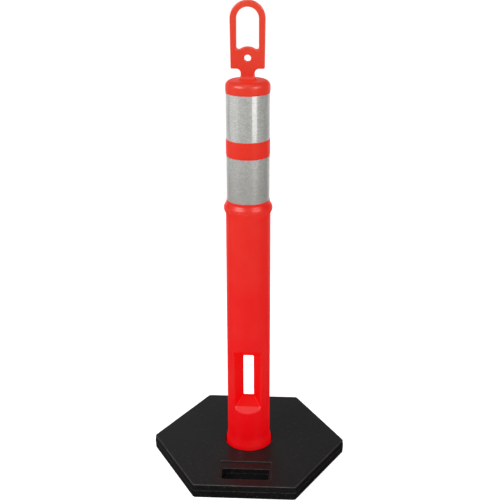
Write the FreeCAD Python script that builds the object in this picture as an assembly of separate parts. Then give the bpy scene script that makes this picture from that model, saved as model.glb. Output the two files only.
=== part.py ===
import FreeCAD, Part
import math
import os

# Delineator post: a one-piece moulded tube post with a loop handle, two
# retroreflective bands stuck in its recesses, and a heavy rubber base that
# drops over the post from above and traps the flange at the post's foot.
# Millimetres. +Z is up, the origin is on the ground on the post's axis, and
# the base's hand hold is on the -Y side.

Vec = FreeCAD.Vector
UP = Vec(0, 0, 1)
AXIS_FOOT = Vec(0, 0, 0)

# ---------------------------------------------------------------- rubber base
BASE_ACROSS_FLATS = 405.5      # two flats face -Y and +Y
BASE_THICKNESS = 34.0
BASE_CORNER_ROUND = 9.0
BASE_PARTING_HEIGHT = 19.0     # the mould's parting crest round the rim
BASE_DRAFT = 1.2               # the rim leans in by this, above and below
BASE_EDGE_ROUND = 1.5
HOLE_CLEARANCE = 2.8           # base hole over the post's foot, radial
HOLE_EDGE_ROUND = 1.2
SEAT_CLEARANCE = 3.0           # counterbore over the post's flange, radial
SEAT_GAP = 0.4                 # counterbore roof over the flange's top

HAND_PANEL_WIDTH = 120.0       # shallow panel sunk into the top face
HAND_PANEL_LENGTH = 71.0
HAND_PANEL_DEPTH = 2.0
HAND_PANEL_EDGE = 27.5         # rubber left between the panel and the rim
HAND_SLOT_WIDTH = 109.0
HAND_SLOT_LENGTH = 40.5
HAND_SLOT_INSET = 3.5          # from the panel's outer side
HAND_CORNER_ROUND = 4.0
HAND_EDGE_ROUND = 1.0

RELIEF_DEPTH = 3.0             # hollows under the base, between its ribs
RELIEF_RIM = 22.0
RELIEF_RIB = 16.0
RELIEF_CORNER = 6.0

# ----------------------------------------------------------------- post, tube
WALL = 3.0
GROUND_GAP = 0.5               # the post's foot hangs just off the ground
FLANGE_THICKNESS = 7.5
FLANGE_REACH = 20.5            # beyond the foot's own radius
FLANGE_ROUND = 2.0
BLOW_HOLE_RADIUS = 5.0

SHAFT_RADIUS = 50.0            # under the guard bead
SHAFT_TAPER = 0.8              # added to that radius down at the flare
FOOT_STAND = 3.8               # how far the foot stands out of the shaft
FOOT_TOP = 40.0                # the foot is straight up to here
FLARE_TOP = 58.0
FLARE_ROUND = 20.0

BEAD_HEIGHT = 635.0            # middle of the guard bead
BEAD_STAND = 4.5               # how far its crest stands out of the shaft
BEAD_ROUND = 15.5
BEAD_BLEND = 10.0

NECK_IN = 1.5                  # the bands' stretch is this much slimmer
BAND_RECESS = 1.1
BAND_LENGTH = 100.0
BEAD_TO_BAND = 20.0
RING_LENGTH = 38.0             # the orange ring between the two bands
RING_LIP = 3.5                 # rounded lower lip of the ring and the cap
RING_LIP_ROUND = 4.0
CAP_LENGTH = 26.0              # from the upper band to the cap's shoulder
CAP_SHOULDER = 12.5
CAP_CROWN = 3.0                # rise of the cap's top towards its middle

# -------------------------------------------------------- post, loop handle
PLATE_THICKNESS = 13.0
PLATE_EDGE_ROUND = 2.5
NECK_HALF_WIDTH = 14.8
NECK_ROOT_ROUND = 9.0
PLATE_BOTTOM_RISE = 21.7       # from the cap's top corner to the plate
SCOOP_ROUND = 9.5
PLATE_HALF_WIDTH = 36.2
PLATE_CORNER = 2.8
PLATE_TAPER = 0.7              # degrees the handle's sides open upwards
HANDLE_HEIGHT = 141.3          # from the plate's bottom to the loop's top
LOOP_THICKNESS = 13.7
OPENING_RISE = 40.3            # from the plate's bottom to the opening
OPENING_CORNER = 5.0
OPENING_BUMP = 5.5             # the plate's arched top inside the opening
LIGHT_HOLE_RADIUS = 7.6
LIGHT_HOLE_RISE = 22.2         # from the plate's bottom to the hole's centre

# ------------------------------------------- post, pinched window at the foot
WINDOW_BOTTOM = 155.0
WINDOW_HEIGHT = 108.5
WINDOW_WIDTH = 25.0
WINDOW_CORNER = 3.0
WINDOW_SIDE_SLOPE = 0.465      # how far its sides open, per mm outwards
WINDOW_ROOF_SLOPE = 0.63
WINDOW_SILL_SLOPE = 0.33
WINDOW_LIP_SETBACK = 4.0       # the sill steepens this far inside its mouth
WINDOW_LIP_SLOPE = 0.9
WINDOW_BACK_SLOPE = 0.72         # the back sill falls faster than the front one
WINDOW_MOUTH_ROUND = 2.5

# -------------------------------------------------------- reflective sheeting
SHEET_THICKNESS = 0.5
SHEET_OVERLAP = 14.0           # where the sheet's end lies over its start
GLUE_LINE = 0.05

# ------------------------------------------------------------- worked out
SHAFT_RADIUS_LOW = SHAFT_RADIUS + SHAFT_TAPER
FOOT_RADIUS = SHAFT_RADIUS_LOW + FOOT_STAND
HOLE_RADIUS = FOOT_RADIUS + HOLE_CLEARANCE
FLANGE_RADIUS = FOOT_RADIUS + FLANGE_REACH
FLANGE_TOP = GROUND_GAP + FLANGE_THICKNESS
SEAT_RADIUS = FLANGE_RADIUS + SEAT_CLEARANCE
SEAT_ROOF = FLANGE_TOP + SEAT_GAP
BASE_APOTHEM = BASE_ACROSS_FLATS / 2
RING_RADIUS = SHAFT_RADIUS - NECK_IN
RECESS_RADIUS = RING_RADIUS - BAND_RECESS
LOWER_BAND_BOTTOM = BEAD_HEIGHT + BEAD_TO_BAND
LOWER_BAND_TOP = LOWER_BAND_BOTTOM + BAND_LENGTH
UPPER_BAND_BOTTOM = LOWER_BAND_TOP + RING_LENGTH
UPPER_BAND_TOP = UPPER_BAND_BOTTOM + BAND_LENGTH
CAP_CORNER = UPPER_BAND_TOP + CAP_LENGTH
CAP_TOP = CAP_CORNER + CAP_CROWN
PLATE_BOTTOM = CAP_TOP + PLATE_BOTTOM_RISE
HANDLE_TOP = PLATE_BOTTOM + HANDLE_HEIGHT
OPENING_BOTTOM = PLATE_BOTTOM + OPENING_RISE
LIGHT_HOLE_HEIGHT = PLATE_BOTTOM + LIGHT_HOLE_RISE
HAND_PANEL_LOW = HAND_PANEL_EDGE - BASE_APOTHEM
HAND_PANEL_FLOOR = BASE_THICKNESS - HAND_PANEL_DEPTH
HAND_SLOT_LOW = HAND_PANEL_LOW + HAND_SLOT_INSET

# How closely a place has to agree with a size when edges are picked, and how
# far a cutting shape reaches past what it cuts.
TOUCH = 0.01
NEAR_SKIN = 0.2
PAST = 1.0
SHORTEST_RUN = 1e-6
ARCH_SHORT = 1e-4              # leaves a short run between the loop's two arcs


# ------------------------------------------------------------ outline helpers
def rounded_path(corners, closed):
    """Straight runs joined by tangent arcs. corners holds (u, v, radius)."""
    count = len(corners)
    marks = []
    for i, (u, v, radius) in enumerate(corners):
        here = Vec(u, v, 0)
        if radius == 0 or (not closed and i in (0, count - 1)):
            marks.append((here, here, here))
            continue
        before = Vec(corners[i - 1][0], corners[i - 1][1], 0)
        after = Vec(corners[(i + 1) % count][0], corners[(i + 1) % count][1], 0)
        back = (before - here).normalize()
        ahead = (after - here).normalize()
        half = back.getAngle(ahead) / 2
        reach = radius / math.tan(half)
        centre = here + (back + ahead).normalize() * (radius / math.sin(half))
        middle = centre + (here - centre).normalize() * radius
        marks.append((here + back * reach, middle, here + ahead * reach))
    edges = []
    for i, (start, middle, end) in enumerate(marks):
        if (end - start).Length > SHORTEST_RUN:
            edges.append(Part.Arc(start, middle, end).toShape())
        if i == count - 1 and not closed:
            break
        following = marks[(i + 1) % count][0]
        if (following - end).Length > SHORTEST_RUN:
            edges.append(Part.makeLine(end, following))
    return edges


def arc_about(centre_u, centre_v, radius, start_deg, end_deg):
    """One arc in the outline's plane, from its centre and two angles."""
    points = []
    for share in (0.0, 0.5, 1.0):
        angle = math.radians(start_deg + share * (end_deg - start_deg))
        points.append(Vec(centre_u + radius * math.cos(angle),
                          centre_v + radius * math.sin(angle), 0))
    return Part.Arc(*points).toShape()


def upright(edges):
    """Turns an outline drawn in (u, v) so that u is X and v is Z."""
    turned = []
    for edge in edges:
        standing = edge.copy()
        standing.rotate(AXIS_FOOT, Vec(1, 0, 0), 90)
        turned.append(standing)
    return turned


def face_of(edges):
    return Part.Face(Part.Wire(Part.__sortEdges__(edges)))


def lathe(edges):
    """Turns an upright half outline once round the post's axis."""
    return face_of(upright(edges)).revolve(AXIS_FOOT, UP, 360)


def plate_from(edges, thickness):
    """An upright outline given a thickness, half each side of Y = 0."""
    face = face_of(upright(edges))
    face.translate(Vec(0, -thickness / 2, 0))
    return face.extrude(Vec(0, thickness, 0))


def level_wire(corners, height):
    wire = Part.Wire(rounded_path(corners, True))
    wire.translate(Vec(0, 0, height))
    return wire


def edges_where(shape, wanted):
    """The edges that satisfy wanted(point) at five places along them."""
    chosen = []
    for edge in shape.Edges:
        first, last = edge.ParameterRange
        places = [edge.valueAt(first + share * (last - first))
                  for share in (0.0, 0.25, 0.5, 0.75, 1.0)]
        if all(wanted(place) for place in places):
            chosen.append(edge)
    return chosen


# ----------------------------------------------------------------- base
def hexagon(apothem, corner_round):
    radius = apothem / math.cos(math.radians(30))
    corners = []
    for i in range(6):
        angle = math.radians(60 * i)
        corners.append((radius * math.cos(angle), radius * math.sin(angle),
                        corner_round))
    return corners


def rectangle(x_half, y_low, y_high, corner_round):
    return [(-x_half, y_low, corner_round), (x_half, y_low, corner_round),
            (x_half, y_high, corner_round), (-x_half, y_high, corner_round)]


def relief_pocket(turn):
    """One hollow under the base: the wedge between two of its ribs."""
    outer = (BASE_APOTHEM - RELIEF_RIM) / math.cos(math.radians(30))
    inner = SEAT_RADIUS + RELIEF_RIM / 2
    rib = RELIEF_RIB / 2
    tilt = Vec(math.cos(math.radians(60)), math.sin(math.radians(60)), 0)
    side = Vec(-tilt.y, tilt.x, 0)
    near = tilt * inner - side * rib
    far = tilt * (outer - rib / math.cos(math.radians(30))) - side * rib
    corners = [(inner, rib, RELIEF_CORNER),
               (outer - rib / math.cos(math.radians(30)), rib, RELIEF_CORNER),
               (far.x, far.y, RELIEF_CORNER),
               (near.x, near.y, RELIEF_CORNER)]
    wire = level_wire(corners, -PAST)
    pocket = Part.Face(wire).extrude(UP * (RELIEF_DEPTH + PAST))
    pocket.rotate(AXIS_FOOT, UP, turn)
    return pocket


def rubber_slab():
    """The hexagon with its drafted rim and its rounded edges, no holes yet."""
    inset = hexagon(BASE_APOTHEM - BASE_DRAFT, BASE_CORNER_ROUND)
    crest = hexagon(BASE_APOTHEM, BASE_CORNER_ROUND)
    lower = Part.makeLoft([level_wire(inset, 0.0),
                           level_wire(crest, BASE_PARTING_HEIGHT)], True, True)
    upper = Part.makeLoft([level_wire(crest, BASE_PARTING_HEIGHT),
                           level_wire(inset, BASE_THICKNESS)], True, True)
    slab = lower.fuse(upper)
    rim = edges_where(slab, lambda p: p.z > BASE_THICKNESS - TOUCH)
    rim += edges_where(slab, lambda p: p.z < TOUCH)
    return slab.makeFillet(BASE_EDGE_ROUND, rim)


def bore_for_post(base):
    """The hole that the post stands in, and the counterbore for its flange."""
    base = base.cut(Part.makeCylinder(HOLE_RADIUS, BASE_THICKNESS + 2 * PAST,
                                      Vec(0, 0, -PAST)))
    lip = edges_where(base, lambda p: p.z > BASE_THICKNESS - TOUCH
                      and abs(math.hypot(p.x, p.y) - HOLE_RADIUS) < TOUCH)
    base = base.makeFillet(HOLE_EDGE_ROUND, lip)
    return base.cut(Part.makeCylinder(SEAT_RADIUS, SEAT_ROOF + PAST,
                                      Vec(0, 0, -PAST)))


def within(place, half_width, low, length):
    """Whether a place lies in one of the hand hold's rectangles, seen from above."""
    return (abs(place.x) <= half_width + TOUCH
            and low - TOUCH <= place.y <= low + length + TOUCH)


def hand_hold(base):
    """The shallow panel in the top face and the slot that goes right through."""
    panel = Part.Face(level_wire(rectangle(
        HAND_PANEL_WIDTH / 2, HAND_PANEL_LOW, HAND_PANEL_LOW + HAND_PANEL_LENGTH,
        HAND_CORNER_ROUND), HAND_PANEL_FLOOR)).extrude(UP * (HAND_PANEL_DEPTH + PAST))
    base = base.cut(panel)
    slot = Part.Face(level_wire(rectangle(
        HAND_SLOT_WIDTH / 2, HAND_SLOT_LOW, HAND_SLOT_LOW + HAND_SLOT_LENGTH,
        HAND_CORNER_ROUND), -PAST)).extrude(UP * (BASE_THICKNESS + 2 * PAST))
    base = base.cut(slot)
    edges = edges_where(base, lambda p: abs(p.z - BASE_THICKNESS) < TOUCH and within(
        p, HAND_PANEL_WIDTH / 2, HAND_PANEL_LOW, HAND_PANEL_LENGTH))
    edges += edges_where(base, lambda p: abs(p.z - HAND_PANEL_FLOOR) < TOUCH and within(
        p, HAND_SLOT_WIDTH / 2, HAND_SLOT_LOW, HAND_SLOT_LENGTH))
    return base.makeFillet(HAND_EDGE_ROUND, edges)


def make_base():
    base = hand_hold(bore_for_post(rubber_slab()))
    keep_clear = Part.makeBox(HAND_SLOT_WIDTH + 2 * RELIEF_RIB,
                              HAND_SLOT_LENGTH + 2 * RELIEF_RIB,
                              RELIEF_DEPTH + 2 * PAST,
                              Vec(-HAND_SLOT_WIDTH / 2 - RELIEF_RIB,
                                  HAND_SLOT_LOW - RELIEF_RIB, -PAST))
    for i in range(6):
        base = base.cut(relief_pocket(60 * i).cut(keep_clear))
    return base


# ------------------------------------------------------------------ post
def bead_arcs(inset):
    """The guard bead: a blend, the crest and a blend. Returns the three arcs
    and the heights where the bead meets the shaft and the slimmer stretch."""
    crest_round = BEAD_ROUND - inset
    blend = BEAD_BLEND + inset
    centre = SHAFT_RADIUS + BEAD_STAND - BEAD_ROUND
    below = SHAFT_RADIUS - inset
    above = RING_RADIUS - inset
    low_lean = math.degrees(math.acos((below + blend - centre)
                                      / (crest_round + blend)))
    high_lean = math.degrees(math.acos((above + blend - centre)
                                       / (crest_round + blend)))
    low = BEAD_HEIGHT - (crest_round + blend) * math.sin(math.radians(low_lean))
    high = BEAD_HEIGHT + (crest_round + blend) * math.sin(math.radians(high_lean))
    arcs = [arc_about(below + blend, low, blend, 180, 180 - low_lean),
            arc_about(centre, BEAD_HEIGHT, crest_round, -low_lean, high_lean),
            arc_about(above + blend, high, blend, 180 + high_lean, 180)]
    return arcs, low, high


def post_outline(inset):
    """Half outline of the tube. inset 0 is its skin, WALL its hollow."""
    arcs, low, high = bead_arcs(inset)
    ring = RING_RADIUS - inset
    recess = RECESS_RADIUS - inset
    foot = FOOT_RADIUS - inset
    if inset:
        start = [(0, GROUND_GAP + inset, 0),
                 (foot, GROUND_GAP + inset, FLANGE_ROUND)]
    else:
        start = [(0, GROUND_GAP, 0),
                 (FLANGE_RADIUS, GROUND_GAP, FLANGE_ROUND),
                 (FLANGE_RADIUS, FLANGE_TOP, FLANGE_ROUND),
                 (foot, FLANGE_TOP, FLANGE_ROUND / 2)]
    below = start + [(foot, FOOT_TOP, FLARE_ROUND),
                     (SHAFT_RADIUS_LOW - inset, FLARE_TOP, FLARE_ROUND),
                     (SHAFT_RADIUS - inset, low, 0)]
    if inset:
        above = [(ring, high, 0), (recess, LOWER_BAND_BOTTOM, 0),
                 (recess, UPPER_BAND_TOP, 0), (ring, UPPER_BAND_TOP + RING_LIP, 0)]
    else:
        above = [(ring, high, 0), (ring, LOWER_BAND_BOTTOM, 0),
                 (recess, LOWER_BAND_BOTTOM, 0), (recess, LOWER_BAND_TOP, 0),
                 (ring, LOWER_BAND_TOP + RING_LIP, RING_LIP_ROUND),
                 (ring, UPPER_BAND_BOTTOM, 0),
                 (recess, UPPER_BAND_BOTTOM, 0), (recess, UPPER_BAND_TOP, 0),
                 (ring, UPPER_BAND_TOP + RING_LIP, RING_LIP_ROUND)]
    above += [(ring, CAP_CORNER - inset, CAP_SHOULDER - inset),
              (0, CAP_TOP - inset, 0)]
    edges = rounded_path(below, False) + arcs + rounded_path(above, False)
    edges.append(Part.makeLine(Vec(0, CAP_TOP - inset, 0),
                               Vec(0, GROUND_GAP + inset, 0)))
    return edges


def handle_outline():
    """Neck, plate and loop in one outline, its root inside the cap."""
    root = CAP_CORNER - CAP_SHOULDER
    lean = math.tan(math.radians(PLATE_TAPER))
    top_half = PLATE_HALF_WIDTH + HANDLE_HEIGHT * lean
    arch = top_half / math.tan(math.radians(90 + PLATE_TAPER) / 2)
    corners = [(NECK_HALF_WIDTH, root, 0),
               (NECK_HALF_WIDTH, PLATE_BOTTOM, SCOOP_ROUND),
               (PLATE_HALF_WIDTH, PLATE_BOTTOM, PLATE_CORNER),
               (top_half, HANDLE_TOP, arch - ARCH_SHORT)]
    corners += [(-u, v, radius) for u, v, radius in reversed(corners)]
    return rounded_path(corners, True)


def opening_outline():
    """The loop's opening, over the plate's arched top."""
    lean = math.tan(math.radians(PLATE_TAPER))
    arch_height = HANDLE_TOP - PLATE_HALF_WIDTH
    half = PLATE_HALF_WIDTH + (arch_height - PLATE_BOTTOM) * lean - LOOP_THICKNESS
    corner_u = half - OPENING_CORNER
    corner_v = OPENING_BOTTOM + OPENING_CORNER
    crest = OPENING_BOTTOM + OPENING_BUMP
    drop = corner_v - crest
    bump = ((corner_u ** 2 + drop ** 2 - OPENING_CORNER ** 2)
            / (2 * (OPENING_CORNER - drop)))
    lean_deg = math.degrees(math.atan2(corner_v - crest + bump, corner_u))
    arch_v = HANDLE_TOP - LOOP_THICKNESS - half
    return [arc_about(0, arch_v, half, 0, 180),
            Part.makeLine(Vec(-half, arch_v, 0), Vec(-half, corner_v, 0)),
            arc_about(-corner_u, corner_v, OPENING_CORNER, 180, 360 - lean_deg),
            arc_about(0, crest - bump, bump, 180 - lean_deg, lean_deg),
            arc_about(corner_u, corner_v, OPENING_CORNER, 180 + lean_deg, 360),
            Part.makeLine(Vec(half, corner_v, 0), Vec(half, arch_v, 0))]


def make_handle():
    handle = plate_from(handle_outline(), PLATE_THICKNESS)
    handle = handle.cut(plate_from(opening_outline(), PLATE_THICKNESS + 2 * PAST))
    face = PLATE_THICKNESS / 2
    root = CAP_CORNER - CAP_SHOULDER
    rim = edges_where(handle, lambda p: abs(abs(p.y) - face) < TOUCH
                      and (p.z > root + TOUCH
                           or abs(abs(p.x) - NECK_HALF_WIDTH) < TOUCH))
    handle = handle.makeFillet(PLATE_EDGE_ROUND, rim)
    bolt = Part.makeCylinder(LIGHT_HOLE_RADIUS, PLATE_THICKNESS + 2 * PAST,
                             Vec(0, -face - PAST, LIGHT_HOLE_HEIGHT), Vec(0, 1, 0))
    return handle.cut(bolt)


def window_sill_depth():
    """How far from the middle plane the sill steepens: just inside the line
    where the window's slanting sides leave the shaft."""
    half = WINDOW_WIDTH / 2
    slope = WINDOW_SIDE_SLOPE
    spread = 1 + slope ** 2
    rest = spread * (SHAFT_RADIUS_LOW ** 2 - half ** 2) + (half * slope) ** 2
    mouth = (math.sqrt(rest) - half * slope) / spread
    return mouth - WINDOW_LIP_SETBACK


def front_drop(distance):
    """How far the front sill has fallen at a distance from the middle plane."""
    sill = min(distance, window_sill_depth())
    return WINDOW_SILL_SLOPE * sill + WINDOW_LIP_SLOPE * (distance - sill)


def back_drop(distance):
    return WINDOW_BACK_SLOPE * distance


def window_section(distance, drop, sill_slope, grow):
    """The window's rectangle at a distance from the middle plane, as a wire
    standing in XZ. grow moves its four sides outwards."""
    half = WINDOW_WIDTH / 2 + WINDOW_SIDE_SLOPE * distance
    top = WINDOW_BOTTOM + WINDOW_HEIGHT + WINDOW_ROOF_SLOPE * distance
    bottom = WINDOW_BOTTOM - drop(distance)
    side = grow * math.hypot(1, WINDOW_SIDE_SLOPE)
    up = grow * math.hypot(1, WINDOW_ROOF_SLOPE)
    down = grow * math.hypot(1, sill_slope)
    corners = rectangle(half + side, bottom - down, top + up,
                        WINDOW_CORNER + grow)
    wire = Part.Wire(upright(rounded_path(corners, True)))
    wire.translate(Vec(0, -distance, 0))
    return wire


def window_pocket(drop, sill_slope, grow):
    """A pocket on the front side, from the pinched web at the middle outwards."""
    web = WALL - grow
    reach = SHAFT_RADIUS_LOW + WINDOW_MOUTH_ROUND + PAST
    stations = (web, window_sill_depth(), reach)
    sections = [window_section(d, drop, sill_slope, grow) for d in stations]
    return Part.makeLoft(sections, True, True)


def make_window(grow):
    """Both pockets and the slot through the web between them."""
    front = window_pocket(front_drop, WINDOW_SILL_SLOPE, grow)
    back = window_pocket(back_drop, WINDOW_BACK_SLOPE, grow)
    back = back.mirror(AXIS_FOOT, Vec(0, 1, 0))
    if grow:
        return front.fuse(back)
    wire = Part.Wire(upright(rounded_path(rectangle(
        WINDOW_WIDTH / 2, WINDOW_BOTTOM, WINDOW_BOTTOM + WINDOW_HEIGHT,
        WINDOW_CORNER), True)))
    wire.translate(Vec(0, -WALL - PAST, 0))
    slot = Part.Face(wire).extrude(Vec(0, 2 * (WALL + PAST), 0))
    return front.fuse(slot).fuse(back)


def shaft_radius(height):
    """The shaft's skin between the flare and the bead, a slight taper."""
    bead_foot = bead_arcs(0.0)[1]
    share = (height - FLARE_TOP) / (bead_foot - FLARE_TOP)
    return SHAFT_RADIUS_LOW + share * (SHAFT_RADIUS - SHAFT_RADIUS_LOW)


def on_window_mouth(place):
    """Whether a place is on the rim where the window opens in the skin."""
    off_skin = math.hypot(place.x, place.y) - shaft_radius(place.z)
    reach = SHAFT_RADIUS_LOW
    lowest = WINDOW_BOTTOM - WINDOW_LIP_SLOPE * reach
    highest = WINDOW_BOTTOM + WINDOW_HEIGHT + WINDOW_ROOF_SLOPE * reach
    return abs(off_skin) < NEAR_SKIN and lowest < place.z < highest + NEAR_SKIN


def make_post():
    skin = lathe(post_outline(0.0)).fuse(make_handle())
    face = PLATE_THICKNESS / 2
    junction = edges_where(skin, lambda p: CAP_CORNER < p.z < CAP_TOP + TOUCH
                           and abs(p.x) < NECK_HALF_WIDTH + TOUCH
                           and abs(p.y) < face + TOUCH)
    skin = skin.makeFillet(NECK_ROOT_ROUND, junction)
    skin = skin.cut(make_window(0.0))
    mouth = edges_where(skin, on_window_mouth)
    skin = skin.makeFillet(WINDOW_MOUTH_ROUND, mouth)
    hollow = lathe(post_outline(WALL)).cut(make_window(WALL))
    post = skin.cut(hollow)
    blow = Part.makeCylinder(BLOW_HOLE_RADIUS, 4 * WALL,
                             Vec(0, 0, GROUND_GAP - WALL))
    return post.cut(blow)


# -------------------------------------------------------- reflective bands
def make_band(bottom):
    """A sheet wrapped once round its recess, its end over its start."""
    inner = RECESS_RADIUS + GLUE_LINE
    outer = inner + SHEET_THICKNESS
    sheet = Part.makeCylinder(outer, BAND_LENGTH, Vec(0, 0, bottom))
    sheet = sheet.cut(Part.makeCylinder(inner, BAND_LENGTH, Vec(0, 0, bottom)))
    span = math.degrees(SHEET_OVERLAP / outer)
    lap = Part.makeCylinder(outer + SHEET_THICKNESS, BAND_LENGTH,
                            Vec(0, 0, bottom), UP, span)
    lap = lap.cut(Part.makeCylinder(outer - GLUE_LINE, BAND_LENGTH, Vec(0, 0, bottom)))
    lap.rotate(AXIS_FOOT, UP, 90 - span / 2)
    return sheet.fuse(lap).removeSplitter()


os.makedirs("parts", exist_ok=True)
PIECES = {
    "rubber_base": make_base(),
    "post_body": make_post(),
    "lower_reflective_band": make_band(LOWER_BAND_BOTTOM),
    "upper_reflective_band": make_band(UPPER_BAND_BOTTOM),
}
for name, shape in PIECES.items():
    solid, = shape.Solids
    size = solid.BoundBox
    print(name, solid.isValid(), round(solid.Volume / 1000, 1), "cm3",
          round(size.XLength, 1), round(size.YLength, 1), round(size.ZLength, 1))
    solid.exportStep("parts/" + name + ".step")
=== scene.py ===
# %% [markdown]
# # Delineator post
# A delineator post is a blow-moulded polyethylene tube that stands in a loose slab of recycled
# rubber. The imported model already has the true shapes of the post, its two sheets of reflective
# film and the base. This script loads it as a fixed frame, gives every surface its real finish,
# and adds what the moulds leave behind: the parting seam of the post and the flash of the rubber.

# %% Load the frame
import math
import bmesh
import bpy
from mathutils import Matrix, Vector


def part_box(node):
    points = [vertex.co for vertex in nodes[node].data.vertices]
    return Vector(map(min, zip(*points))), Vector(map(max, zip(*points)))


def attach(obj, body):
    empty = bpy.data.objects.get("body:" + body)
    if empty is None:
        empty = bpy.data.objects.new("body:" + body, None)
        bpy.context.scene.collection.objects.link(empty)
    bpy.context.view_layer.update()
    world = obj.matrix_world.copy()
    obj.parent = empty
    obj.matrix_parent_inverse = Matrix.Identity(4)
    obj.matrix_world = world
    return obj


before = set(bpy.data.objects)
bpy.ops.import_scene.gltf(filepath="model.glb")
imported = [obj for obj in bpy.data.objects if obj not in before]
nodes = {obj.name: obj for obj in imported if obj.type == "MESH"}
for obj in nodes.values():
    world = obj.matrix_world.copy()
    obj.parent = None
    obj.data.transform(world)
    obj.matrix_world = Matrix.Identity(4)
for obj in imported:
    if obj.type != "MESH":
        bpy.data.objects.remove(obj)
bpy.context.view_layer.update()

MM = 0.001
post_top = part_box("post_body")[1].z
base_reach, base_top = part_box("rubber_base")[1].yz
upper_low, upper_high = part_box("upper_reflective_band")
lower_low, lower_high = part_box("lower_reflective_band")

# %% [markdown]
# ## Camera
# The viewer stands 1.96 m away and looks down a little, so the base's top shows and its front
# edge runs slightly downhill to the right. A 67 mm lens keeps the tube's sides nearly parallel.
# The place is given as an angle round the post, a distance and a height, which is how it would
# be measured in a studio.

# %% Camera
CAMERA_AZIMUTH = math.radians(3.228)
CAMERA_DISTANCE = 1.9623
CAMERA_HEIGHT = 1.2969
CAMERA_PITCH = math.radians(21.314)
CAMERA_YAW = math.radians(3.062)
CAMERA_ROLL = math.radians(0.132)
LENS_MM = 66.57
SENSOR_WIDTH_MM = 36.0

camera_data = bpy.data.cameras.new("camera")
camera_data.lens = LENS_MM
camera_data.sensor_width = SENSOR_WIDTH_MM
camera = bpy.data.objects.new("camera", camera_data)
camera.location = (CAMERA_DISTANCE * math.sin(CAMERA_AZIMUTH),
                   -CAMERA_DISTANCE * math.cos(CAMERA_AZIMUTH), CAMERA_HEIGHT)
camera.rotation_euler = (math.pi / 2 - CAMERA_PITCH, CAMERA_ROLL, CAMERA_YAW)
bpy.context.scene.collection.objects.link(camera)
bpy.context.scene.camera = camera
print("camera at", [round(part, 3) for part in camera.location])

# %% [markdown]
# ## Shader arithmetic
# A procedural finish is mostly arithmetic on masks. Written as nodes it is hard to read, so one
# small class wraps a socket and overloads the operators: `1 - mask * 0.3` then adds the Math
# nodes by itself. Every other node comes from one method, `Graph.node`, which sets the node's
# own options first and its inputs after that.

# %% Shader arithmetic
class Value:
    """A number that varies over a surface. Arithmetic on it adds Math nodes."""

    def __init__(self, graph, socket):
        self.graph = graph
        self.socket = socket

    def math(self, operation, *others):
        return self.graph.node("ShaderNodeMath", {"operation": operation}, self, *others)

    def __add__(self, other):
        return self.math("ADD", other)

    def __sub__(self, other):
        return self.math("SUBTRACT", other)

    def __mul__(self, other):
        return self.math("MULTIPLY", other)

    def __rsub__(self, other):
        return self.graph.node("ShaderNodeMath", {"operation": "SUBTRACT"}, other, self)

    def __abs__(self):
        return self.math("ABSOLUTE")

    __radd__ = __add__
    __rmul__ = __mul__


# %% [markdown]
# `Graph` holds one material's node tree. `place` is the point on the object in metres, which is
# the same frame as the post's sizes, so a mask can say "above 640 mm" and mean it. `between` and
# `near` make nearly all the masks: the first is a step with a soft edge, and the second is a
# soft stripe along the places where a value passes through zero.

# %% One material's graph
class Graph:
    """One material's node tree, with a Principled shader ready for its sockets."""

    def __init__(self, name):
        self.owner = bpy.data.materials.new(name)
        self.owner.use_nodes = True
        self.tree = self.owner.node_tree
        self.tree.nodes.clear()
        self.shader = self.tree.nodes.new("ShaderNodeBsdfPrincipled")
        output = self.tree.nodes.new("ShaderNodeOutputMaterial")
        self.tree.links.new(self.shader.outputs[0], output.inputs["Surface"])
        self.place = self.node("ShaderNodeTexCoord", {}, out="Object")

    def node(self, kind, settings, *inputs, out=0, **named):
        made = self.tree.nodes.new(kind)
        for option, setting in settings.items():
            setattr(made, option, setting)
        for key, given in [*enumerate(inputs), *named.items()]:
            self.feed(made.inputs[key], given)
        return Value(self, made.outputs[out])

    def feed(self, socket, given):
        if isinstance(given, Value):
            self.tree.links.new(given.socket, socket)
        else:
            socket.default_value = given

    def axis(self, letter):
        return self.node("ShaderNodeSeparateXYZ", {}, self.place, out=letter)

    def radius(self):
        """Distance from the post's axis."""
        flat = self.node("ShaderNodeVectorMath", {"operation": "MULTIPLY"},
                         self.place, (1, 1, 0))
        return self.node("ShaderNodeVectorMath", {"operation": "LENGTH"}, flat, out="Value")

    def between(self, value, low, high, at_low=0.0, at_high=1.0):
        """at_low below low, at_high above high, eased between them."""
        return self.node("ShaderNodeMapRange", {"interpolation_type": "SMOOTHSTEP"},
                         value, low, high, at_low, at_high)

    def near(self, value, full, none):
        """1 where the value is within full of zero, 0 past none, eased between them."""
        return 1 - self.between(abs(value), full, none)

    def noise(self, size, detail=2.0, stretch=(1, 1, 1), rough=0.5):
        """Cloudy variation from 0 to 1 with features about size metres across."""
        scaled = self.node("ShaderNodeVectorMath", {"operation": "MULTIPLY"},
                           self.place, [1 / (size * part) for part in stretch])
        return self.node("ShaderNodeTexNoise", {}, Vector=scaled, Scale=1.0,
                         Detail=detail, Roughness=rough)

    def blend(self, mask, colour_a, colour_b):
        mix = self.node("ShaderNodeMix", {"data_type": "RGBA"}, out=2)
        factor_and_colours = (0, mask), (6, colour_a), (7, colour_b)
        for index, given in factor_and_colours:
            self.feed(mix.socket.node.inputs[index], given)
        return mix

    def bump(self, height, depth):
        """A normal from a height of 0 to 1 that stands for depth metres."""
        return self.node("ShaderNodeBump", {}, Height=height, Distance=depth,
                         Strength=1.0)

    def finish(self, **sockets):
        for name, given in sockets.items():
            self.feed(self.shader.inputs[name.replace("_", " ")], given)
        return self.owner


def shade(red, green, blue):
    return (red, green, blue, 1.0)


def dress(piece, material):
    """Gives a piece this material in every slot it has."""
    if not piece.material_slots:
        piece.data.materials.append(material)
    for place in piece.material_slots:
        place.link = "OBJECT"
        place.material = material


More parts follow.
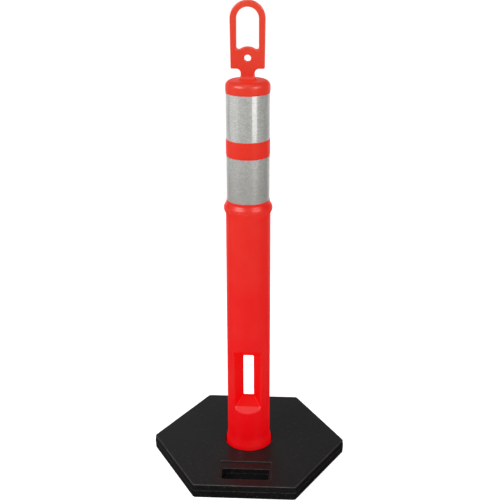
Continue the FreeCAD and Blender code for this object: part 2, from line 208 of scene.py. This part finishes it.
# %% [markdown]
# ## Moulded polyethylene
# The post is dyed right through with a fluorescent red-orange, so no paint chips show. A little
# red emission is painted light: it makes the post glow, most at the foot, which flattens its
# shading. The colour is painted darker towards the foot and lighter towards the top, as painted
# shade and painted light from above.
#
# Use marks it in four ways, and painted highlights are added. The crest of the guard bead and the
# crown of the handle are rubbed by stacking and by hands, so they are a touch paler and rougher
# there. The rounded edges of the plate and the loop are painted paler still, as painted
# highlights. The rubber base leaves dull streaks on the shaft as it is slid on and off. The
# window's sill is painted paler, partly as thin pale dust and partly as painted light where it
# faces up. Its height is a simple function of its depth: two slopes, of which the lower one wins.
# Painted highlight lines run along the creases where the sill meets the slanting sides. Each mark
# is a mask made by its own small function.

# %% Marks of use and painted highlights on the post
BEAD_CREST = 54.5 * MM
BEAD_FLOOR = 600 * MM
CROWN_DEPTH = 12 * MM
plate_foot = post_top - 140 * MM
PLATE_HALF_THICKNESS = 6.5 * MM
SHAFT_TOP = 620 * MM
SILL_TOP, SILL_SLOPE = 155.0 * MM, 0.33
LIP_TOP, LIP_SLOPE = 175.6 * MM, 0.90
SIDE_START, SIDE_SLOPE = 12.5 * MM, 0.465
WINDOW_MOUTH = 50.0 * MM


def bead_and_crown(graph, rub):
    """Where stacking rubs the bead and hands rub the handle's crown."""
    height = graph.axis("Z")
    crest = graph.between(graph.radius(), BEAD_CREST - 1.5 * MM, BEAD_CREST - 0.2 * MM)
    bead = crest * graph.between(height, BEAD_FLOOR, BEAD_FLOOR + 10 * MM)
    crown = graph.between(height, post_top - CROWN_DEPTH, post_top)
    return (bead + crown * 0.5) * graph.between(rub, 0.40, 0.66)


def handle_edge_highlights(graph, rub):
    """Painted highlights along the rounded edges of the plate and the loop."""
    height, depth = graph.axis("Z"), abs(graph.axis("Y"))
    rounded = graph.between(depth, 4.0 * MM, 5.5 * MM)
    face = graph.between(depth, 5.8 * MM, PLATE_HALF_THICKNESS)
    above = graph.between(height, plate_foot - 1 * MM, plate_foot + 1 * MM)
    return (rounded - rounded * face) * above * graph.between(rub, 0.10, 0.45)


def base_streaks(graph, cloud):
    """Upright streaks on the shaft, in some places only, where the base slides along."""
    streaks = graph.noise(3.5 * MM, 3.0, stretch=(1, 1, 26), rough=0.6)
    on_shaft = 1 - graph.between(graph.axis("Z"), SHAFT_TOP - 40 * MM, SHAFT_TOP)
    return graph.between(streaks, 0.62, 0.74) * graph.between(cloud, 0.45, 0.62) * on_shaft


def window_dust_and_highlights(graph, rub):
    """Thin dust and painted light on the window's sill, and painted highlight lines in its
    creases.
    """
    height, depth = graph.axis("Z"), graph.axis("Y")
    sill = (depth * SILL_SLOPE + SILL_TOP).math("MINIMUM", depth * LIP_SLOPE + LIP_TOP)
    inside = 1 - graph.between(graph.radius(), WINDOW_MOUTH - 1.5 * MM, WINDOW_MOUTH)
    in_front = 1 - graph.between(depth, -6 * MM, -3 * MM)
    # Partly thin dust, partly painted light where the sill faces up.
    sill_dust_and_light = graph.near(height - sill, 0.8 * MM, 2.2 * MM) * inside * in_front
    to_side = abs(graph.axis("X")) + depth * SIDE_SLOPE - SIDE_START
    # Painted highlight lines along the creases.
    crease_highlight = sill_dust_and_light * graph.near(to_side, 0.6 * MM, 1.8 * MM)
    return sill_dust_and_light * (0.06 + rub * 0.06) + crease_highlight * 0.40


print("plate starts at", round(plate_foot / MM), "mm")

# %% [markdown]
# A blow-moulded skin copies the mould's fine sandblasted grain, the soft tube that the air
# pushed out has left faint lines along the post, and the wall has cooled with slow waves in it.
# All three are bump, because none is more than a few hundredths of a millimetre high, which is
# too little for the outline to show.

# %% Moulded polyethylene
# The foot's colour is painted shade and the top's colour is painted light.
SHADED_RED_AT_FOOT = shade(0.36, 0.0004, 0.0028)
LIT_ORANGE_AT_TOP = shade(0.38, 0.054, 0.025)
# Chalky orange for wear and dust, also used for painted highlights on edges and creases.
CHALKY_AND_HIGHLIGHT_ORANGE = shade(0.40, 0.130, 0.085)
RUBBER_SCUFF = shade(0.20, 0.006, 0.005)
# Painted light: the glow's colour at the foot and at the top, and its strength.
GLOW_AT_FOOT = shade(1.0, 0.0, 0.003)
GLOW_AT_TOP = shade(0.74, 0.006, 0.0)
GLOW_STRENGTH = 0.54
SKIN_RELIEF = 0.07 * MM


def moulded_polyethylene():
    graph = Graph("moulded_polyethylene")
    rise = graph.axis("Z") * (1 / post_top)
    cloud = graph.noise(100 * MM, 3.0)
    rub = graph.noise(6 * MM, 4.0, rough=0.65)
    worn = bead_and_crown(graph, rub)
    slid = base_streaks(graph, cloud)

    # Painted shade and light: darker red towards the foot, brighter orange towards the top.
    body = graph.blend(rise * rise, SHADED_RED_AT_FOOT, LIT_ORANGE_AT_TOP)
    body = graph.blend(graph.between(cloud, 0.40, 0.80) * 0.10, body, CHALKY_AND_HIGHLIGHT_ORANGE)
    # Real rubbing on the bead and crown, and painted highlights along the handle's edges.
    body = graph.blend(worn * 0.18 + handle_edge_highlights(graph, rub) * 0.85, body, CHALKY_AND_HIGHLIGHT_ORANGE)
    body = graph.blend(slid * 0.16, body, RUBBER_SCUFF)
    body = graph.blend(window_dust_and_highlights(graph, rub), body, CHALKY_AND_HIGHLIGHT_ORANGE)
    # Painted light: a red glow, strongest at the foot, which flattens the post's shading.
    glow = graph.blend(rise, GLOW_AT_FOOT, GLOW_AT_TOP)

    grain = graph.noise(1.1 * MM, 2.0)
    tube_lines = graph.noise(4 * MM, 2.0, stretch=(1, 1, 60))
    waves = graph.noise(35 * MM, 1.0)
    relief = grain * 0.10 + tube_lines * 0.20 + waves * 0.70
    sheen = 0.32 + cloud * 0.04 + grain * 0.02 + worn * 0.06 + slid * 0.10
    return graph.finish(Base_Color=body, Roughness=sheen, IOR=1.5,
                        Specular_IOR_Level=0.13, Emission_Color=glow,
                        Emission_Strength=GLOW_STRENGTH,
                        Normal=graph.bump(relief, SKIN_RELIEF))


post_finish = moulded_polyethylene()
dress(nodes["post_body"], post_finish)
print("post finish", len(post_finish.node_tree.nodes), "nodes")

# %% [markdown]
# ## Reflective film
# The silver film is a sheet of tiny prisms under a clear skin. Its two layers are welded along a
# diamond lattice, which keeps water out if one cell is cut. Each cell is painted lighter or
# darker at random, a painted glint for its prisms, which lie at slightly different angles. The
# clear skin is a shader coat, which mirrors the panels more sharply than the silver under it
# does. The lower sheet is painted darker, most at its foot, as painted shade. The lattice is
# worked out from the angle round the post and the height, so it meets itself cleanly at the back.

# %% Reflective film
CELL_WIDE = 7.0 * MM
CELL_TALL = 3.5 * MM
WELD_FADES, WELD_FULL = 0.33, 0.46
WELD_RELIEF = 0.03 * MM
# Painted glint: dim and lit silver, picked per cell.
SILVER_DIM = shade(0.45, 0.45, 0.43)
SILVER_LIT = shade(0.64, 0.64, 0.61)
WELD_GREY = shade(0.33, 0.332, 0.315)
# Road dust, also used as painted shade on the lower sheet.
ROAD_DUST_AND_SHADE = shade(0.30, 0.28, 0.25)


def reflective_film():
    graph = Graph("reflective_film")
    reach = (upper_high.x - upper_low.x) / 2
    cells_round = round(2 * math.pi * reach / CELL_WIDE)
    turn = graph.node("ShaderNodeMath", {"operation": "ARCTAN2"},
                      graph.axis("Y"), graph.axis("X"))
    across = turn * (cells_round / (2 * math.pi))
    up = graph.axis("Z") * (1 / CELL_TALL)
    diagonals = across + up, across - up
    lines = [graph.between(abs(diagonal.math("FRACT") - 0.5), WELD_FADES, WELD_FULL)
             for diagonal in diagonals]
    weld = lines[0].math("MAXIMUM", lines[1])

    cell = graph.node("ShaderNodeCombineXYZ", {},
                      *[diagonal.math("FLOOR") for diagonal in diagonals], 0.0)
    glint = graph.node("ShaderNodeTexWhiteNoise", {"noise_dimensions": "3D"}, cell)
    cloud = graph.noise(50 * MM, 2.0, stretch=(1, 1, 2))
    dust = graph.between(graph.noise(12 * MM, 5.0, rough=0.7), 0.58, 0.80)
    # Painted shade: the lower sheet is darker, most at its foot.
    lower_sheet_shade = 1 - graph.between(graph.axis("Z"), lower_low.z, upper_low.z)
    # Painted glint: each cell is painted lighter or darker at random.
    silver = graph.blend(glint * 0.8 + cloud * 0.2, SILVER_DIM, SILVER_LIT)
    silver = graph.blend(weld * 0.75, silver, WELD_GREY)
    silver = graph.blend(dust * 0.12 + lower_sheet_shade * 0.35, silver, ROAD_DUST_AND_SHADE)
    sheen = 0.33 + glint * 0.05 + dust * 0.10 - weld * 0.04
    return graph.finish(Base_Color=silver, Metallic=0.15, Roughness=sheen,
                        Coat_Weight=1.0, Coat_Roughness=0.10, Coat_IOR=1.8,
                        Normal=graph.bump(1 - weld, WELD_RELIEF))


film_finish = reflective_film()
dress(nodes["upper_reflective_band"], film_finish)
dress(nodes["lower_reflective_band"], film_finish)
print("film finish", len(film_finish.node_tree.nodes), "nodes")

# %% [markdown]
# ## Recycled rubber
# The base is pressed from crumbs of old tyres. It is black and reflects its surroundings softly,
# so the post shows in it as a dim red streak. Crumbs of different rubber show as faint specks,
# dust stays in the grain, and three kinds of edge are painted grey: the top edge of the slab is
# rubbed, while the pale lines along the ridge where its two mould halves met and along the rim of
# the panel round the hand hold are painted highlights. `to_rim` measures how far a place is from
# the axis across the flats of the hexagon, so one comparison finds all six sides.

# %% Recycled rubber
PARTING_RISE = 19.0 * MM
PANEL_MIDDLE = -139.75 * MM
PANEL_HALF_LENGTH = 35.5 * MM
PANEL_HALF_WIDTH = 60.0 * MM
SLANT = math.radians(30)
CRUMB_SIZE = 3.2 * MM
GRAIN_RELIEF = 0.30 * MM
TYRE_BLACK = shade(0.0024, 0.0021, 0.0025)
TYRE_GREY = shade(0.0060, 0.0052, 0.0055)
# Rubbed grey, also used for painted highlight lines on the ridge and round the panel.
RUBBED_AND_HIGHLIGHT_GREY = shade(0.056, 0.046, 0.041)
PALE_DUST = shade(0.080, 0.074, 0.067)


def rubbed_and_highlit_edges(graph):
    """The slab's rubbed top edge, and painted highlight lines on its parting ridge and panel rim.
    """
    height = graph.axis("Z")
    across, along = abs(graph.axis("X")), abs(graph.axis("Y"))
    slanted = across * math.cos(SLANT) + along * math.sin(SLANT)
    to_rim = along.math("MAXIMUM", slanted)
    top_edge = (graph.between(to_rim, base_reach - 4.2 * MM, base_reach - 2.2 * MM)
                * graph.between(height, base_top - 1.8 * MM, base_top - 0.4 * MM))
    # Painted highlight: a pale line along the parting ridge.
    ridge = (graph.near(height - PARTING_RISE, 0.3 * MM, 0.9 * MM)
             * graph.between(to_rim, base_reach - 4 * MM, base_reach - 2 * MM))
    past_end = abs(graph.axis("Y") - PANEL_MIDDLE) - PANEL_HALF_LENGTH
    to_panel = (across - PANEL_HALF_WIDTH).math("MAXIMUM", past_end)
    # Painted highlight: a pale line round the panel's rim.
    panel_rim = (graph.near(to_panel, 0.5 * MM, 1.5 * MM)
                 * graph.between(height, base_top - 1.5 * MM, base_top - 0.5 * MM))
    patchy = graph.between(graph.noise(10 * MM, 4.0, rough=0.7), 0.25, 0.60)
    return (top_edge + ridge + panel_rim) * patchy


def recycled_rubber():
    graph = Graph("recycled_rubber")
    crumbs = graph.node("ShaderNodeTexVoronoi", {"feature": "F1"}, Vector=graph.place,
                        Scale=1 / CRUMB_SIZE, out="Color")
    crumb = graph.node("ShaderNodeSeparateXYZ", {}, crumbs, out="X")
    cloud = graph.noise(80 * MM, 4.0)
    grain = graph.noise(1.5 * MM, 3.0)
    dust = graph.between(graph.noise(25 * MM, 6.0, rough=0.72), 0.56, 0.80)
    rubbed_and_highlit = rubbed_and_highlit_edges(graph)

    black = graph.blend(crumb * 0.5 + cloud * 0.5, TYRE_BLACK, TYRE_GREY)
    black = graph.blend(graph.between(crumb, 0.965, 0.985) * 0.35, black, RUBBED_AND_HIGHLIGHT_GREY)
    black = graph.blend(rubbed_and_highlit * 0.9, black, RUBBED_AND_HIGHLIGHT_GREY)
    black = graph.blend(dust * 0.05, black, PALE_DUST)
    sheen = 0.30 + cloud * 0.12 + grain * 0.08 + dust * 0.14 + rubbed_and_highlit * 0.15
    relief = grain * 0.35 + crumb * 0.15 + cloud * 0.50
    return graph.finish(Base_Color=black, Roughness=sheen, IOR=1.5,
                        Specular_IOR_Level=0.28, Normal=graph.bump(relief, GRAIN_RELIEF))


rubber_finish = recycled_rubber()
dress(nodes["rubber_base"], rubber_finish)
print("rubber finish", len(rubber_finish.node_tree.nodes), "nodes")

# %% [markdown]
# ## Where two mould halves meet
# A mould opens in two halves. Along the line where they meet, a thin raised line stays on the
# piece. Its course could be typed in, but it follows every step of the outline, so it is better
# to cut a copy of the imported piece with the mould's parting plane and keep the cut. The packed
# mesh is loose triangles, so the copy's doubles are merged first.

# %% Cut a piece with its parting plane
MERGE_DISTANCE = 1e-6


def parting_line(piece, point, normal, wanted):
    """The cut of a piece by a plane, as a mesh of edges. wanted(place) picks its points."""
    shape = bmesh.new()
    shape.from_mesh(piece.data)
    bmesh.ops.remove_doubles(shape, verts=shape.verts, dist=MERGE_DISTANCE)
    everything = shape.verts[:] + shape.edges[:] + shape.faces[:]
    cut = bmesh.ops.bisect_plane(shape, geom=everything, dist=MERGE_DISTANCE,
                                 plane_co=point, plane_no=normal)["geom_cut"]
    kept = {vert for vert in cut if isinstance(vert, bmesh.types.BMVert) and wanted(vert.co)}
    pairs = [edge.verts[:] for edge in cut if isinstance(edge, bmesh.types.BMEdge)
             and edge.verts[0] in kept and edge.verts[1] in kept]
    order = {vert: rank for rank, vert in enumerate(sorted(kept, key=lambda vert: vert.index))}
    mesh = bpy.data.meshes.new("parting_line")
    mesh.from_pydata([vert.co.copy() for vert in order],
                     [[order[one], order[other]] for one, other in pairs], [])
    shape.free()
    print("cut of", piece.name, "has", len(mesh.edges), "edges")
    return mesh


# %% [markdown]
# ## Raised lines with Geometry Nodes
# The line is a small round bead swept along the cut. Geometry Nodes suit it, because the sweep
# follows any path and its size can change on the way: the tree reads the cut's edges as a curve,
# spaces its points evenly, makes it fade out towards the height where hands have rubbed it away,
# makes it a little uneven, and sweeps a circle along it. The tree has named inputs, and its
# unevenness is a noise fixed to the place instead of a random draw, so each use gets its own
# size and stays the same on each run.

# %% The raised line's node tree
LINE_INPUTS = {"Radius": 0.35 * MM, "Spacing": 3.0 * MM, "Fade From": 1.0, "Fade To": 2.0,
               "Unevenness": 0.4}
FADED_SIZE = 0.05
UNEVEN_SCALE = 140.0
RING_POINTS = 6


def add_node(tree, kind, settings, *ordered, **named):
    """One Geometry Nodes node. An input may be another node's output."""
    made = tree.nodes.new(kind)
    for option, setting in settings.items():
        setattr(made, option, setting)
    spaced = {name.replace("_", " "): given for name, given in named.items()}
    for key, given in [*enumerate(ordered), *spaced.items()]:
        if isinstance(given, bpy.types.NodeSocket):
            tree.links.new(given, made.inputs[key])
        else:
            made.inputs[key].default_value = given
    return made.outputs


def line_size(tree, given, place):
    """The line's size along its way, from 0 to 1: fading with height, and uneven."""
    height = add_node(tree, "ShaderNodeSeparateXYZ", {}, Vector=place)["Z"]
    fade = add_node(tree, "ShaderNodeMapRange", {"interpolation_type": "SMOOTHSTEP"},
                    Value=height, From_Min=given["Fade From"], From_Max=given["Fade To"],
                    To_Min=1.0, To_Max=FADED_SIZE)["Result"]
    bumps = add_node(tree, "ShaderNodeTexNoise", {}, Vector=place, Scale=UNEVEN_SCALE)["Fac"]
    loss = add_node(tree, "ShaderNodeMath", {"operation": "MULTIPLY"}, bumps,
                    given["Unevenness"])[0]
    rest = add_node(tree, "ShaderNodeMath", {"operation": "SUBTRACT"}, 1.0, loss)[0]
    return add_node(tree, "ShaderNodeMath", {"operation": "MULTIPLY"}, fade, rest)[0]


def raised_line_tree():
    tree = bpy.data.node_groups.new("raised_line", "GeometryNodeTree")
    face = tree.interface
    face.new_socket("Geometry", in_out="INPUT", socket_type="NodeSocketGeometry")
    for name in LINE_INPUTS:
        face.new_socket(name, in_out="INPUT", socket_type="NodeSocketFloat")
    face.new_socket("Finish", in_out="INPUT", socket_type="NodeSocketMaterial")
    face.new_socket("Geometry", in_out="OUTPUT", socket_type="NodeSocketGeometry")
    given = add_node(tree, "NodeGroupInput", {})
    path = add_node(tree, "GeometryNodeMeshToCurve", {}, Mesh=given["Geometry"])[0]
    path = add_node(tree, "GeometryNodeResampleCurve", {"mode": "LENGTH"}, Curve=path,
                    Length=given["Spacing"])[0]
    place = add_node(tree, "GeometryNodeInputPosition", {})[0]
    ring = add_node(tree, "GeometryNodeCurvePrimitiveCircle", {}, Resolution=RING_POINTS,
                    Radius=given["Radius"])["Curve"]
    swept = add_node(tree, "GeometryNodeCurveToMesh", {}, Curve=path, Profile_Curve=ring,
                     Scale=line_size(tree, given, place), Fill_Caps=True)[0]
    smooth = add_node(tree, "GeometryNodeSetShadeSmooth", {}, Geometry=swept)[0]
    whole = add_node(tree, "GeometryNodeRealizeInstances", {}, Geometry=smooth)[0]
    done = add_node(tree, "GeometryNodeSetMaterial", {}, Geometry=whole,
                    Material=given["Finish"])[0]
    add_node(tree, "NodeGroupOutput", {}, Geometry=done)
    return tree


line_tree = raised_line_tree()
print("raised line tree", len(line_tree.nodes), "nodes")

# %% [markdown]
# A modifier's input is set by its socket's identifier. The evaluated result is turned into one
# plain mesh, its normals are made to face outwards, and the modifier is gone before the piece
# joins the frame.

# %% Turn a cut into a piece
def raised_line(name, cuts, finish, **sizes):
    """A raised line along some cuts, as one plain piece."""
    joined = bmesh.new()
    for cut in cuts:
        joined.from_mesh(cut)
    path_mesh = bpy.data.meshes.new(name + "_path")
    joined.to_mesh(path_mesh)
    joined.free()
    path = bpy.data.objects.new(name + "_path", path_mesh)
    bpy.context.scene.collection.objects.link(path)
    sweep = path.modifiers.new("raised_line", "NODES")
    sweep.node_group = line_tree
    wanted = {**LINE_INPUTS, "Finish": finish}
    wanted.update({size.replace("_", " "): value for size, value in sizes.items()})
    for socket in line_tree.interface.items_tree:
        if socket.in_out == "INPUT" and socket.name in wanted:
            sweep[socket.identifier] = wanted[socket.name]
    shown = path.evaluated_get(bpy.context.evaluated_depsgraph_get())
    mesh = bpy.data.meshes.new_from_object(shown)
    bpy.data.objects.remove(path)
    shape = bmesh.new()
    shape.from_mesh(mesh)
    bmesh.ops.recalc_face_normals(shape, faces=shape.faces[:])
    shape.to_mesh(mesh)
    shape.free()
    mesh.name = name
    piece = bpy.data.objects.new(name, mesh)
    bpy.context.scene.collection.objects.link(piece)
    dress(piece, finish)
    print(name, len(mesh.polygons), "faces")
    return piece


# %% [markdown]
# ## The post's parting seam
# The post's mould opens front to back, so its seam runs up both sides of the tube, round the
# handle and round the handle's opening. It is left out under the two bands, where the tube is
# scraped flat before the film goes on, inside the tube, and down where the base stands. On the
# handle's crown hands have rubbed it away. The pinched window's slot has a flash of its own,
# where the two walls were squeezed together and trimmed.

# %% Post seam and window flash
FOOT_CLEAR = 40 * MM
TUBE_SKIN = 46.2 * MM
BAND_MARGIN = 1.5 * MM
SLOT_HALF_WIDTH = 12.5 * MM
SLOT_MARGIN = 0.3 * MM
SLOT_LOW, SLOT_HIGH = 150 * MM, 268 * MM
SEAM_RADIUS = 0.32 * MM
handle_foot = upper_high.z + 29 * MM


def on_post_seam(place):
    under_film = any(low.z - BAND_MARGIN < place.z < high.z + BAND_MARGIN
                     for low, high in ((lower_low, lower_high), (upper_low, upper_high)))
    outside = abs(place.x) > TUBE_SKIN or place.z > handle_foot
    return place.z > FOOT_CLEAR and outside and not under_film


def on_window_slot(place):
    return abs(place.x) < SLOT_HALF_WIDTH + SLOT_MARGIN and SLOT_LOW < place.z < SLOT_HIGH


post = nodes["post_body"]
middle, forward = Vector((0, 0, 0.5)), Vector((0, 1, 0))
seam_cut = parting_line(post, middle, forward, on_post_seam)
slot_cut = parting_line(post, middle, forward, on_window_slot)
seam = raised_line("post_parting_seam", [seam_cut, slot_cut], post_finish,
                   Radius=SEAM_RADIUS, Fade_From=post_top - 30 * MM,
                   Fade_To=post_top - 4 * MM)
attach(seam, "post")

# %% [markdown]
# ## The rubber's flash
# The two plates of the rubber's mould meet a little above the middle of the rim. Rubber creeps
# between them and leaves a thin flash, which is trimmed on the outside but stays in the holes:
# round the hand hold and round the hole that the post stands in.

# %% Rubber flash
RIM_CLEAR = 12.0 * MM
FLASH_RADIUS = 0.45 * MM


def in_the_holes(place):
    slanted = abs(place.x) * math.cos(SLANT) + abs(place.y) * math.sin(SLANT)
    return max(abs(place.y), slanted) < base_reach - RIM_CLEAR


base = nodes["rubber_base"]
hole_cut = parting_line(base, Vector((0, 0, PARTING_RISE)), Vector((0, 0, 1)), in_the_holes)
flash = raised_line("base_hole_flash", [hole_cut], rubber_finish, Radius=FLASH_RADIUS,
                    Unevenness=0.7)
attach(flash, "base")

# %% [markdown]
# ## Floor
# A studio's paper sweep has no horizon. Here it is a pale floor far larger than the view, which
# glows so that it stays white right up to the base, and a pale wall far away that only the
# camera sees, so it doesn't change the light. Neither shows in the post's reflections.

# %% Floor
FLOOR_REACH = 40.0
COVE_HEIGHT = 40.0
ROUND_SIDES = 64
PAPER_GLOW = 0.78


def stage_piece(name, shape, finish):
    """A piece of the stage, which isn't part of the object."""
    mesh = bpy.data.meshes.new(name)
    shape.to_mesh(mesh)
    shape.free()
    piece = bpy.data.objects.new(name, mesh)
    bpy.context.scene.collection.objects.link(piece)
    dress(piece, finish)
    piece.visible_glossy = False
    return piece


pale = Graph("pale_floor").finish(Base_Color=shade(0.94, 0.94, 0.94), Roughness=0.9,
                                  Specular_IOR_Level=0.0, Emission_Color=shade(1, 1, 1),
                                  Emission_Strength=PAPER_GLOW)
disc = bmesh.new()
bmesh.ops.create_circle(disc, cap_ends=True, segments=ROUND_SIDES, radius=FLOOR_REACH)
floor = stage_piece("floor", disc, pale)
wall = bmesh.new()
bmesh.ops.create_cone(wall, cap_ends=False, segments=ROUND_SIDES, radius1=FLOOR_REACH,
                      radius2=FLOOR_REACH, depth=2 * COVE_HEIGHT)
cove_wall = stage_piece("cove", wall, pale)
cove_wall.visible_diffuse = False
cove_wall.visible_shadow = False
print("stage", floor.name, cove_wall.name)

# %% [markdown]
# ## Sky
# The sky gives soft light from all round, and is what the post and the base mirror where no
# panel is. Its brightness comes from the direction alone. It fades below the horizon, and its
# left side is the brighter one. Behind the post it has a bright low part, like a lit wall there,
# which shows at a glancing angle along the two sides of the tube. The same `Graph` methods
# serve, with the world's Background node as the shader.

# %% Sky
class Sky(Graph):
    """The world's node tree. Its place is the direction looked in."""

    def __init__(self, name):
        self.owner = bpy.data.worlds.new(name)
        self.owner.use_nodes = True
        self.tree = self.owner.node_tree
        self.shader = self.tree.nodes["Background"]
        self.place = self.node("ShaderNodeTexCoord", {}, out="Generated")

    def fade(self, letter, low, high, at_low, at_high):
        """A brightness that changes along one axis of the direction."""
        return self.between(self.axis(letter), low, high, at_low, at_high)


sky = Sky("studio")
overhead = sky.fade("Z", -0.30, -0.05, 0.10, 1.0) * sky.fade("X", -0.16, 0.16, 0.38, 0.18)
lit_wall = (sky.fade("Z", 0.02, 0.22, 1.0, 0.0) * sky.fade("Y", 0.35, 0.95, 0.0, 0.9)
            * sky.fade("Z", -0.46, -0.34, 0.0, 1.0))
bpy.context.scene.world = sky.finish(Color=shade(1, 1, 1), Strength=overhead + lit_wall)
bpy.context.scene.view_settings.view_transform = "Standard"
print("sky", len(sky.tree.nodes), "nodes")

# %% [markdown]
# ## Panels
# A wide standing panel on the left gives the tube's soft bright side, and one overhead lights
# the cap and the base's top. The other three are there for their reflections alone, so they are
# kept out of the diffuse light, as a flag would do in a studio. The one on the right
# shows as an upright streak in the upper band and passes under the lower one. The two raised
# boxes give the paired highlights on the bead and the cap.

# %% Panels
def soft_box(name, azimuth_deg, distance, height, size, power, target_height, accent=False):
    """An area light aimed at a height on the post's axis. An accent only makes highlights."""
    data = bpy.data.lights.new(name, "AREA")
    data.shape = "RECTANGLE"
    data.size, data.size_y = size
    data.energy = power
    lamp = bpy.data.objects.new(name, data)
    turn = math.radians(azimuth_deg)
    lamp.location = (distance * math.sin(turn), -distance * math.cos(turn), height)
    to_target = Vector((0, 0, target_height)) - Vector(lamp.location)
    lamp.rotation_euler = to_target.to_track_quat("-Z", "Y").to_euler()
    lamp.visible_diffuse = not accent
    bpy.context.scene.collection.objects.link(lamp)


soft_box("wide_panel_left", azimuth_deg=-76, distance=2.6, height=1.1, size=(3.0, 2.2),
         power=14, target_height=0.7)
soft_box("top_panel", azimuth_deg=-8, distance=1.0, height=3.2, size=(1.8, 1.6),
         power=36, target_height=0.6)
soft_box("strip_right", azimuth_deg=38, distance=2.6, height=1.0, size=(1.20, 1.76),
         power=23, target_height=1.0, accent=True)
soft_box("raised_box_left", azimuth_deg=-46, distance=2.4, height=2.2, size=(1.7, 1.0),
         power=210, target_height=0.8, accent=True)
soft_box("raised_box_right", azimuth_deg=46, distance=2.4, height=2.2, size=(1.5, 1.0),
         power=130, target_height=0.8, accent=True)
